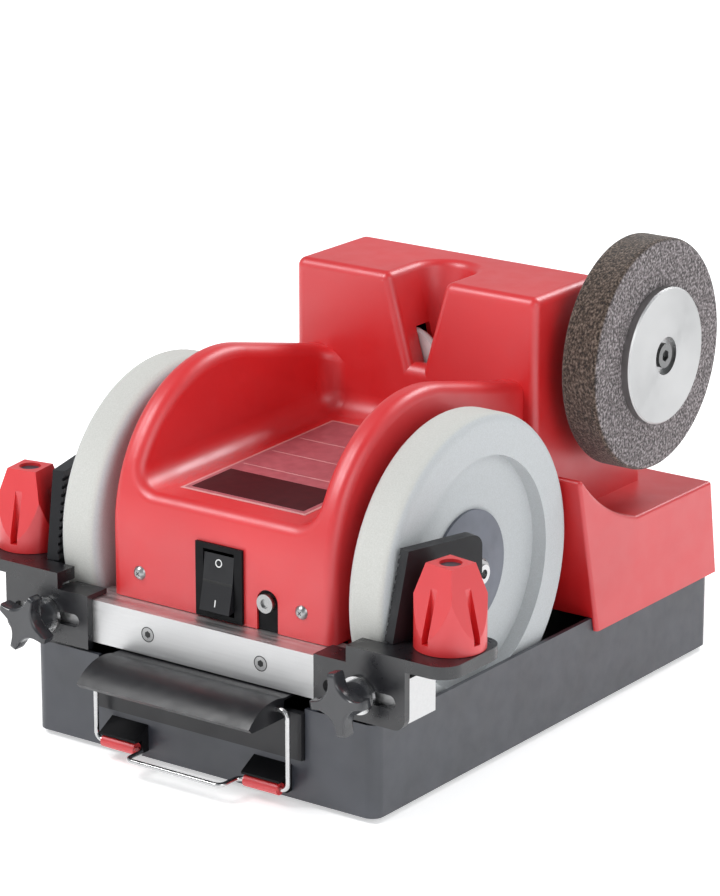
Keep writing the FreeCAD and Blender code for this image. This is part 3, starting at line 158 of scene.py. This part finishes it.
finishes = {
    "red_cover": red_plastic("red moulding", 0.42, 0.95),
    "red_grip": red_plastic("red grip", 0.40, 1.0),
    "black_plastic": moulding("satin black moulding", (0.033, 0.036, 0.047), 0.38, 1500),
    "black_steel": moulding("black powder coat", (0.009, 0.009, 0.011), 0.30, 900, 0.04),
    "black_rubber": moulding("black rubber", grey(0.020), 0.72, 1200),
    "grey_flange": moulding("blue-grey flange", (0.125, 0.135, 0.165), 0.45, 600),
    "grey_metal": moulding("grey primer", grey(0.30), 0.5, 600),
    "white_ceramic": moulding("fired ceramic", grey(0.66), 0.5, 900),
}
for slot in ("black_plastic", "black_steel"):
    set_sheen(finishes[slot], 0.8)
print(sorted(finishes))

# %% [markdown]
# The wheels are stone, so pale and dead matt, with a close grain. The polishing wheel is pressed fibre, a
# tangle of threads: one drawn-out noise colours them, another raises them. Each wheel has one colour on its
# rim and another on its faces, found by the distance from the axle. The stone's faces are a little cooler
# and darker than its rim. The fibre's rim is browner, as wear, and its faces are about twice as light, as
# painted light from the fill lamp on the right.
#
# The metals are brushed. The guide bar's marks run along its length, so its noise is drawn out along X. The
# polishing flange was faced on a lathe: its grooves are rings, so its reflection fans out from the middle.
# A tangent that circles the X axis gives the shader that fan.

# %% Finishes of stone, fibre and metals
RIM_STARTS = 2.0 * MM
RIM_WHOLE = 0.8 * MM


def by_radius(tree, shader, wheel, rim, face):
    """One colour on a wheel's rim and another inside it, told apart by the distance from its axle."""
    low, high = (Vector(corner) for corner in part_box(wheel))
    middle = (low + high) / 2
    radius = (high.z - low.z) / 2
    place = tree.nodes.new("ShaderNodeTexCoord")
    centred = tree.nodes.new("ShaderNodeMapping")
    centred.inputs["Location"].default_value = (0, -middle.y, -middle.z)
    centred.inputs["Scale"].default_value = (0, 1, 1)
    reach = tree.nodes.new("ShaderNodeVectorMath")
    reach.operation = "LENGTH"
    edge = tree.nodes.new("ShaderNodeMapRange")
    edge.inputs["From Min"].default_value = radius - RIM_STARTS
    edge.inputs["From Max"].default_value = radius - RIM_WHOLE
    blend = tree.nodes.new("ShaderNodeMix")
    blend.data_type = "RGBA"
    tree.links.new(place.outputs["Object"], centred.inputs["Vector"])
    tree.links.new(centred.outputs["Vector"], reach.inputs[0])
    tree.links.new(reach.outputs["Value"], edge.inputs["Value"])
    tree.links.new(edge.outputs["Result"], blend.inputs[0])
    tree.links.new(face, blend.inputs[6])
    tree.links.new(rim, blend.inputs[7])
    tree.links.new(blend.outputs[2], shader.inputs["Base Color"])


def wheel_stone():
    """Warm and pale on the rim, a little cooler on the faces."""
    material, tree, shader = new_finish("pale grinding stone", 0.85)
    grit = grain(tree, 1100, 6)
    rim = ramp(tree, grit, (0.30, (0.53, 0.53, 0.50)), (0.52, (0.57, 0.57, 0.54)),
               (0.72, (0.61, 0.61, 0.585)))
    face = ramp(tree, grit, (0.30, (0.49, 0.505, 0.51)), (0.52, (0.525, 0.545, 0.555)),
                (0.72, (0.56, 0.58, 0.595)))
    by_radius(tree, shader, "grinding_wheel_right", rim, face)
    relief(tree, shader, grain(tree, 1800, 4), 0.12, 0.0003)
    return material


def pressed_fibre():
    """Threads browner on the rim, as wear, and lighter on the faces, as painted light."""
    material, tree, shader = new_finish("pressed fibre", 0.95)
    threads = grain(tree, 760, 9, (1, 0.75, 0.75))
    # Rim stops are browner, as wear; face stops are about twice as light, as painted light from the fill
    # lamp.
    rim = ramp(tree, threads, (0.36, (0.012, 0.007, 0.005)), (0.46, (0.048, 0.031, 0.022)),
               (0.54, (0.095, 0.066, 0.050)), (0.66, (0.20, 0.15, 0.12)))
    face = ramp(tree, threads, (0.36, (0.030, 0.024, 0.024)), (0.46, (0.105, 0.087, 0.088)),
                (0.54, (0.20, 0.172, 0.175)), (0.66, (0.40, 0.36, 0.37)))
    by_radius(tree, shader, "polishing_wheel", rim, face)
    relief(tree, shader, grain(tree, 1300, 6, (1, 0.7, 0.7)), 0.8, 0.0010)
    shader.inputs["Sheen Weight"].default_value = 0.2
    return material


def metal(name, level, rough, stretch, peel=500):
    """Bare metal whose brush marks run along the axis with the small stretch."""
    material, tree, shader = new_finish(name, rough, 1.0)
    marks = grain(tree, peel, 4, stretch)
    tint(tree, shader, marks, (0.3, grey(level * 0.9)), (0.7, grey(level)))
    gloss(tree, shader, marks, rough - 0.07, rough + 0.07)
    relief(tree, shader, marks, 0.08, 0.0001)
    return material


def faced_metal(name, level, rough):
    """Metal faced on a lathe about X."""
    material, tree, shader = new_finish(name, rough, 1.0)
    tint(tree, shader, grain(tree, 60, 3), (0.3, grey(level * 0.94)), (0.7, grey(level)))
    gloss(tree, shader, grain(tree, 120, 3), rough - 0.03, rough + 0.04)
    circle = tree.nodes.new("ShaderNodeTangent")
    circle.direction_type = "RADIAL"
    circle.axis = "X"
    tree.links.new(circle.outputs["Tangent"], shader.inputs["Tangent"])
    shader.inputs["Anisotropic"].default_value = 0.75
    return material


finishes["wheel_stone"] = wheel_stone()
finishes["felt"] = pressed_fibre()
finishes["aluminium"] = metal("brushed aluminium", 0.72, 0.48, (0.03, 1, 1))
finishes["bright_steel"] = metal("bright plated steel", 0.62, 0.20, (1, 1, 1), 300)
flange_metal = faced_metal("faced aluminium", 0.50, 0.34)
screw_metal = metal("turned steel", 0.40, 0.32, (1, 1, 1), 300)
# Painted shade: the polishing wheel's screw is drawn in darker steel for the shade of the hollow it sits in.
screw_painted_shade_steel = metal("socket steel darkened as painted shade", 0.20, 0.34, (1, 1, 1), 300)
print(len(finishes), "finishes")

# %% [markdown]
# Every CAD node names its slot in the record, so one loop dresses them all. A node keeps its mesh: only the
# material in its slots changes. A few pieces then get a finish of their own: the switch, the reset insert,
# the guides, the rocker, the catches and the drawer are deeper blacks than the base, darkened as painted
# shade, the catches being black in their own right too; the polishing wheel's screw is steel darkened as
# painted shade, and small turned heads are greyer.

# %% Dress the CAD nodes
for row in frame["record"]["subparts"]:
    target = nodes[row["node"]].data
    target.materials.clear()
    target.materials.append(finishes[row["material_slot"]])
# Painted shade: the switch frame, the reset insert and the catches get a black darker than the base for the
# shade they sit in; the catches are black in their own right too.
black_with_painted_shade = moulding("black moulding with painted shade", (0.006, 0.006, 0.007), 0.55, 1200)
set_sheen(black_with_painted_shade, 0.15)
# Painted shade: the guides and the rocker get a black darker than the base for the shade they sit in.
guide_painted_shade = moulding("ribbed guide moulding with painted shade", (0.010, 0.010, 0.012), 0.42, 1200)
set_sheen(guide_painted_shade, 0.35)
# Painted shade: the drawer, recessed under its lip, and the lip get a black darker than the base for the
# lip's shadow.
drawer_painted_shade = moulding("drawer moulding with painted shade", (0.012, 0.012, 0.014), 0.36, 1500)
star_black = moulding("glossy star black", (0.030, 0.031, 0.035), 0.20, 1500, 0.03)
set_sheen(star_black, 0.8)
own_finish = {
    "polish_flange_outer": flange_metal, "polish_screw": screw_painted_shade_steel,
    "switch_housing": black_with_painted_shade, "reset_collar": black_with_painted_shade, "catches": black_with_painted_shade,
    "angle_guide_left": guide_painted_shade, "angle_guide_right": guide_painted_shade, "rocker": guide_painted_shade,
    "drawer": drawer_painted_shade, "drawer_lip": drawer_painted_shade,
    "reset_button": screw_metal, "cover_screws": screw_metal, "bar_screws": screw_metal,
    "wheel_nut_left": screw_metal, "wheel_nut_right": screw_metal,
}
for name, finish in own_finish.items():
    nodes[name].data.materials[0] = finish
print("dressed", len(nodes), "nodes")

# %% [markdown]
# New pieces are small. Each is drawn at the origin with bmesh operators, then its mesh is turned and moved
# to its seat, so that the finished object stays at the origin as the CAD nodes do.

# %% Helpers for new pieces
def piece(name, shape, finish, body, turn=(0, 0, 0), at=(0, 0, 0)):
    """Turns a bmesh into an object with its place in its mesh, riding on a body."""
    bmesh.ops.recalc_face_normals(shape, faces=shape.faces)
    seat = Matrix.Translation(Vector(at)) @ Euler(turn).to_matrix().to_4x4()
    bmesh.ops.transform(shape, matrix=seat, verts=shape.verts)
    mesh = bpy.data.meshes.new(name)
    shape.to_mesh(mesh)
    shape.free()
    mesh.materials.append(finish)
    mesh.shade_smooth()
    mesh.set_sharp_from_angle(angle=math.radians(35))
    made = bpy.data.objects.new(name, mesh)
    bpy.context.scene.collection.objects.link(made)
    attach(made, body)
    return made


def soft_block(size, edge, segments=3):
    """A block with all its edges rounded."""
    shape = bmesh.new()
    bmesh.ops.create_cube(shape, size=1)
    bmesh.ops.scale(shape, vec=size, verts=shape.verts)
    bmesh.ops.bevel(shape, geom=shape.edges[:], offset=edge, affect="EDGES", segments=segments,
                    profile=0.5, material=-1)
    return shape


def flat_ring(radius, width, depth):
    """A ring about the Y axis, spun from a small rectangle."""
    shape = bmesh.new()
    corners = [shape.verts.new((x, y, 0)) for x, y in (
        (radius - width, 0), (radius, 0), (radius, depth), (radius - width, depth))]
    rim = [shape.edges.new((corners[i - 1], corners[i])) for i in range(len(corners))]
    bmesh.ops.spin(shape, geom=[*corners, *rim], cent=(0, 0, 0), axis=(0, 1, 0),
                   angle=2 * math.pi, steps=40, use_merge=True)
    bmesh.ops.remove_doubles(shape, verts=shape.verts, dist=1e-6)
    return shape


def plain_tint(name, low, high, rough):
    """A printed or painted film: slight mottle, fine grain."""
    material, tree, shader = new_finish(name, rough)
    tint(tree, shader, grain(tree, 160, 4), (0.3, low), (0.7, high))
    relief(tree, shader, grain(tree, 1200, 2), 0.05, 0.0001)
    return material


print("piece helpers ready")

# %% [markdown]
# A printed plate lies on the sloping tray floor: a light frame, a pale rear field with a few rules and a dark
# red band near the front. It could be one textured face, but thin films stacked on each other catch the
# light at their edges as real print does. The slope comes from the two ends of the tray, as the cover has it.

# %% Plate on the tray
TRAY_FRONT = Vector((0, -0.1595, 0.167))
TRAY_BACK = Vector((0, 0.046, 0.173))
PLATE_WIDTH = 97 * MM
PLATE_LENGTH = 160 * MM
PLATE_START = 23.5 * MM
PLATE_FRAME = 2 * MM
BAND_LENGTH = 40 * MM
BAND_INSET = 5 * MM
RULE_WIDTH = 0.7 * MM
RULE_PLACES = (58 * MM, 88 * MM, 118 * MM)
FILM = 0.3 * MM
FILM_EDGE = 0.1 * MM
slope = TRAY_BACK - TRAY_FRONT
tilt = math.atan2(slope.z, slope.y)


def on_tray(along, lift):
    """A point on the tray's middle line, some way from its front edge."""
    return TRAY_FRONT + slope.normalized() * along + Vector((0, 0, lift))


plate_film = plain_tint("pale plate film", (0.36, 0.085, 0.105), (0.46, 0.125, 0.145), 0.3)
band_film = plain_tint("dark red band", (0.040, 0.003, 0.005), (0.058, 0.005, 0.008), 0.5)
set_sheen(band_film, 0.2)
line_film = plain_tint("light rule", (0.62, 0.28, 0.28), (0.70, 0.34, 0.33), 0.35)
middle = PLATE_START + PLATE_LENGTH / 2
band_middle = PLATE_START + BAND_INSET + BAND_LENGTH / 2
inner_width = PLATE_WIDTH - 2 * BAND_INSET
piece("tray_plate_edge", soft_block((PLATE_WIDTH, PLATE_LENGTH, FILM), FILM_EDGE, 1), line_film, "machine",
      (tilt, 0, 0), on_tray(middle, FILM / 2))
field = soft_block((PLATE_WIDTH - 2 * PLATE_FRAME, PLATE_LENGTH - 2 * PLATE_FRAME, FILM), FILM_EDGE, 1)
piece("tray_plate_field", field, plate_film, "machine", (tilt, 0, 0), on_tray(middle, FILM))
piece("tray_plate_band", soft_block((inner_width, BAND_LENGTH, FILM), FILM_EDGE, 1), band_film, "machine",
      (tilt, 0, 0), on_tray(band_middle, 1.5 * FILM))
for row, along in enumerate(RULE_PLACES):
    rule = soft_block((inner_width, RULE_WIDTH, FILM), FILM_EDGE, 1)
    piece(f"tray_plate_rule_{row}", rule, line_film, "machine", (tilt, 0, 0),
          on_tray(PLATE_START + along, 1.5 * FILM))
print("plate slopes", round(math.degrees(tilt), 2), "degrees")

# %% [markdown]
# The drawer's lip runs back under the guide bar, so no gap shows between the two. The ledge is one flat plate
# with rounded edges, just below the bar. It rides on the drawer and slides out with it.

# %% Ledge behind the drawer lip
lip_low, lip_high = (Vector(corner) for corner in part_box("drawer_lip"))
bar_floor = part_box("guide_bar")[0][2]
LEDGE_DEPTH = 14 * MM
LEDGE_THICK = 1.8 * MM
LEDGE_GAP = 1.0 * MM
LEDGE_LAP = 1.0 * MM
LEDGE_EDGE = 0.4 * MM
ledge_level = bar_floor - LEDGE_GAP - LEDGE_THICK / 2
# The ledge takes the drawer's black, darkened as painted shade.
piece("lip_ledge", soft_block((lip_high.x - lip_low.x, LEDGE_DEPTH, LEDGE_THICK), LEDGE_EDGE),
      drawer_painted_shade, "drawer", (0, 0, 0),
      (0, lip_high.y - LEDGE_LAP + LEDGE_DEPTH / 2, ledge_level))
print("ledge at", round(ledge_level / MM, 1), "mm")

# %% [markdown]
# The rocker has two sloping faces, off above and on below, each with its usual mark: a ring and a bar. They
# are thin raised pieces that ride on the rocker, so they tip with it.

# %% Marks on the rocker
white_mark = plain_tint("white mark", (0.70, 0.70, 0.69), (0.80, 0.80, 0.79), 0.5)
rocker_low, rocker_high = (Vector(corner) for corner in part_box("rocker"))
rocker_x = (rocker_low.x + rocker_high.x) / 2
rocker_z = (rocker_low.z + rocker_high.z) / 2
UPPER_LEAN = math.atan2(2, 18)
LOWER_LEAN = math.atan2(4, 18)
ROCKER_NOSE = rocker_low.y + 4 * MM
MARK_UP = 12.5 * MM
MARK_PROUD = 0.15 * MM
MARK_DEPTH = 0.4 * MM
RING_RADIUS = 2.6 * MM
RING_WIDTH = 0.7 * MM
BAR_SIZE = (0.9 * MM, MARK_DEPTH, 4.4 * MM)
GAP_SHADE_SIZE = (rocker_high.x - rocker_low.x + 0.1 * MM, 0.8 * MM, 1.8 * MM)
GAP_SHADE_SUNK = 0.2 * MM
ring_front = ROCKER_NOSE + MARK_UP * math.tan(UPPER_LEAN) - MARK_PROUD
bar_front = ROCKER_NOSE - MARK_UP * math.tan(LOWER_LEAN)
# Painted shade: a near-black strip across the nose stands for the shaded gap between the rocker's halves.
gap_shade_finish = plain_tint("rocker gap painted shade", grey(0.004), grey(0.008), 0.6)
piece("rocker_ring", flat_ring(RING_RADIUS, RING_WIDTH, MARK_DEPTH), white_mark, "rocker",
      (-UPPER_LEAN, 0, 0), (rocker_x, ring_front, rocker_z + MARK_UP))
piece("rocker_bar", soft_block(BAR_SIZE, 0.1 * MM, 1), white_mark, "rocker",
      (-LOWER_LEAN, 0, 0), (rocker_x, bar_front, rocker_z - MARK_UP))
piece("rocker_gap_shade", soft_block(GAP_SHADE_SIZE, 0.2 * MM, 1), gap_shade_finish, "rocker", (0, 0, 0),
      (rocker_x, ROCKER_NOSE + GAP_SHADE_SUNK, rocker_z))
print("rocker nose at", round(ROCKER_NOSE / MM, 1), "mm")

# %% [markdown]
# The cover's two pan-head screws have cross recesses. At this size two crossed dark bars that just break
# the dome read as the recess: they are painted shade in its hollow.

# %% Cross recesses of the cover screws
# Painted shade: one near-black film for the screw recesses, the gaps round the bar screws and their key
# holes.
recess_painted_shade = plain_tint("recess painted shade", grey(0.015), grey(0.03), 0.6)
screw_low, screw_high = (Vector(corner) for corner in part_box("cover_screws"))
HEAD_RADIUS = 4.6 * MM
CROSS_SIZE = (3.6 * MM, 0.6 * MM, 0.8 * MM)
CROSS_SUNK = 0.25 * MM
for side, x in (("left", screw_low.x + HEAD_RADIUS), ("right", screw_high.x - HEAD_RADIUS)):
    for turn in (0, 1):
        piece(f"screw_cross_{side}_{turn}", soft_block(CROSS_SIZE, 0.15 * MM, 1),
              recess_painted_shade, "machine", (0, turn * math.pi / 2 + math.pi / 4, 0),
              (x, screw_low.y + CROSS_SUNK, (screw_low.z + screw_high.z) / 2))
print("two crosses at", round(screw_low.y / MM, 1), "mm")

# %% [markdown]
# The bar's two countersunk screws lie flush, so what the eye finds is the dark gap round each head and the
# six-sided key hole in its middle. A thin ring and a short six-sided plug, both near black, give the two as
# painted shade in the gap and in the hole.

# %% Joints and key holes of the bar screws
BAR_HEAD_RADIUS = 4.7 * MM
KEY_RADIUS = 2.3 * MM
KEY_DEPTH = 0.3 * MM
KEY_SUNK = 0.03 * MM
SHADE_RING_RADIUS = 5.0 * MM
SHADE_RING_WIDTH = 0.55 * MM
SHADE_RING_DEPTH = 0.3 * MM
SHADE_RING_PROUD = 0.12 * MM
bar_low, bar_high = (Vector(corner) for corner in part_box("bar_screws"))
for side, x in (("left", bar_low.x + BAR_HEAD_RADIUS), ("right", bar_high.x - BAR_HEAD_RADIUS)):
    centre = (x, bar_low.y - SHADE_RING_PROUD, (bar_low.z + bar_high.z) / 2)
    piece(f"bar_screw_shade_ring_{side}", flat_ring(SHADE_RING_RADIUS, SHADE_RING_WIDTH, SHADE_RING_DEPTH), recess_painted_shade,
          "machine", (0, 0, 0), centre)
    key_hole = bmesh.new()
    bmesh.ops.create_cone(key_hole, cap_ends=True, segments=6, radius1=KEY_RADIUS, radius2=KEY_RADIUS,
                          depth=KEY_DEPTH)
    piece(f"bar_screw_key_{side}", key_hole, recess_painted_shade, "machine", (math.pi / 2, 0, 0),
          (x, bar_low.y + KEY_SUNK, centre[2]))
print("bar screws at", round(bar_low.y / MM, 1), "mm")

# %% [markdown]
# A clamp knob on a machine like this is a four-armed star: arms with round hollows between them, so that wet
# fingers get a grip. It starts as a flat disc whose rim is drawn in along four round bites. It is then
# extruded to its thickness in short steps whose size swells and shrinks, which rounds both edges without
# thinning the arms' tips. A short neck carries it on the stud, as on the CAD knob.

# %% Star grips
STAR_THICK = 11 * MM
BITE_PLACE = 1.256
BITE_RADIUS = 0.756
NECK_SHARE = 0.5
STAR_STEPS = ((0.80, 0.0), (0.86, 0.0), (0.93, 0.4), (0.98, 1.2), (1.0, 2.4), (1.0, 8.6), (0.98, 9.8),
              (0.93, 10.6), (0.86, 11.0), (0.80, 11.0))


def star_grip(radius, turn):
    """A four-armed star about the Y axis, its front at y = 0."""
    shape = bmesh.new()
    bmesh.ops.create_circle(shape, cap_ends=True, radius=radius, segments=96)
    quarter = math.pi / 2
    for vert in shape.verts:
        off_bite = (math.atan2(vert.co.y, vert.co.x) - turn) % quarter - quarter / 2
        across = BITE_PLACE * math.sin(off_bite)
        if abs(across) < BITE_RADIUS:
            vert.co *= min(1, BITE_PLACE * math.cos(off_bite) - math.sqrt(BITE_RADIUS ** 2 - across ** 2))
    face = shape.faces[:]
    size, level = STAR_STEPS[0]
    bmesh.ops.scale(shape, vec=(size, size, size), verts=shape.verts)
    for next_size, next_level in STAR_STEPS[1:]:
        grown = bmesh.ops.extrude_face_region(shape, geom=face)["geom"]
        rim = [item for item in grown if isinstance(item, bmesh.types.BMVert)]
        grown_face = [item for item in grown if isinstance(item, bmesh.types.BMFace)]
        bmesh.ops.scale(shape, vec=(next_size / size, next_size / size, 1), verts=rim)
        bmesh.ops.translate(shape, vec=(0, 0, (level - next_level) * MM), verts=rim)
        if size > STAR_STEPS[0][0]:
            bmesh.ops.delete(shape, geom=face, context="FACES_ONLY")
        face, size, level = grown_face, next_size, next_level
    return shape


for side, turn in (("right", 0.2), ("left", -0.42)):
    low, high = (Vector(corner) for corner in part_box(f"star_knob_{side}"))
    radius = (high.z - low.z) / 2
    middle = ((low.x + high.x) / 2, low.y, (low.z + high.z) / 2)
    grip = piece(f"star_grip_{side}", star_grip(radius, turn), star_black, f"star_{side}",
                 (math.pi / 2, 0, 0), middle)
    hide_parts(f"star_knob_{side}")
    neck = bmesh.new()
    depth = high.y - low.y - STAR_THICK / 2
    bmesh.ops.create_cone(neck, cap_ends=True, segments=48, radius1=radius * NECK_SHARE,
                          radius2=radius * NECK_SHARE, depth=depth)
    piece(f"star_neck_{side}", neck, star_black, f"star_{side}", (math.pi / 2, 0, 0),
          (middle[0], high.y - depth / 2, middle[2]))
print("star grips", round(2 * radius / MM, 1), "mm across")

# %% [markdown]
# The stage is a pale floor under broad, soft studio light: a large key high on the left, a gentler fill on
# the right and a third lamp behind for the rims. The sky is white at the horizon and dimmer overhead, so
# upright faces pick up a pale sheen from the bright floor while level ones keep their full colour.

# %% Floor and light
FLOOR_HALF = 9.0
FLOOR_DROP = 0.5 * MM
floor_shape = bmesh.new()
bmesh.ops.create_grid(floor_shape, x_segments=1, y_segments=1, size=FLOOR_HALF)
floor_mesh = bpy.data.meshes.new("floor")
floor_shape.to_mesh(floor_mesh)
floor_shape.free()
floor = bpy.data.objects.new("floor", floor_mesh)
floor.location.z = -FLOOR_DROP
bpy.context.scene.collection.objects.link(floor)
floor_finish, floor_tree, floor_shader = new_finish("pale glowing floor", 0.6)
floor_shader.inputs["Base Color"].default_value = (0.93, 0.93, 0.93, 1)
# The floor glows, as painted light: its emission is weaker near the machine and stronger farther out.
floor_shader.inputs["Emission Color"].default_value = (1, 1, 1, 1)
where = floor_tree.nodes.new("ShaderNodeTexCoord")
reach = floor_tree.nodes.new("ShaderNodeVectorMath")
reach.operation = "LENGTH"
floor_tree.links.new(where.outputs["Object"], reach.inputs[0])
floor_glow = floor_tree.nodes.new("ShaderNodeMapRange")
for socket, value in (("From Min", 0.6), ("From Max", 3.0), ("To Min", 0.48), ("To Max", 0.85)):
    floor_glow.inputs[socket].default_value = value
floor_tree.links.new(reach.outputs["Value"], floor_glow.inputs["Value"])
floor_tree.links.new(floor_glow.outputs["Result"], floor_shader.inputs["Emission Strength"])
floor_mesh.materials.append(floor_finish)

world = bpy.data.worlds.new("studio")
bpy.context.scene.world = world
world.use_nodes = True
tree = world.node_tree
way = tree.nodes.new("ShaderNodeTexCoord")
parts = tree.nodes.new("ShaderNodeSeparateXYZ")
tree.links.new(way.outputs["Generated"], parts.inputs["Vector"])
sky = tree.nodes["Background"]
sky_colour = ramp(tree, parts.outputs["Z"], (0.05, (0.95, 0.98, 1.0)), (0.75, (0.33, 0.35, 0.37)))
tree.links.new(sky_colour, sky.inputs["Color"])
sky.inputs["Strength"].default_value = 0.74


def softbox(name, place, aim, size, power):
    lamp = bpy.data.lights.new(name, "AREA")
    lamp.shape = "DISK"
    lamp.size = size
    lamp.energy = power
    holder = bpy.data.objects.new(name, lamp)
    holder.location = place
    holder.rotation_euler = (Vector(aim) - Vector(place)).to_track_quat("-Z", "Y").to_euler()
    bpy.context.scene.collection.objects.link(holder)


softbox("key", (-0.9, -1.2, 1.9), (0, 0, 0.12), 1.1, 32)
softbox("fill", (1.6, -0.6, 1.0), (0, 0, 0.12), 1.2, 7)
softbox("rim", (0.4, 1.5, 1.6), (0, 0, 0.15), 0.9, 20)
print("three softboxes")

# %% [markdown]
# The camera stands where the photographer did: to the right of the machine, a little above it, with a long
# lens. The place was worked out from the edges of the base, bar and wheels, so there is no lens shift.

# %% Camera
CAMERA_PLACE = (1.3564, -1.8840, 0.8815)
CAMERA_YAW = 0.6271
CAMERA_DIP = 0.2981
CAMERA_LENS = 151.73
lens = bpy.data.cameras.new("camera")
lens.lens = CAMERA_LENS
lens.sensor_width = 36
camera = bpy.data.objects.new("camera", lens)
camera.location = CAMERA_PLACE
camera.rotation_euler = (math.pi / 2 - CAMERA_DIP, 0, CAMERA_YAW)
bpy.context.scene.collection.objects.link(camera)
bpy.context.scene.camera = camera
view_settings = bpy.context.scene.view_settings
view_settings.view_transform = "Standard"
print("camera", CAMERA_PLACE)
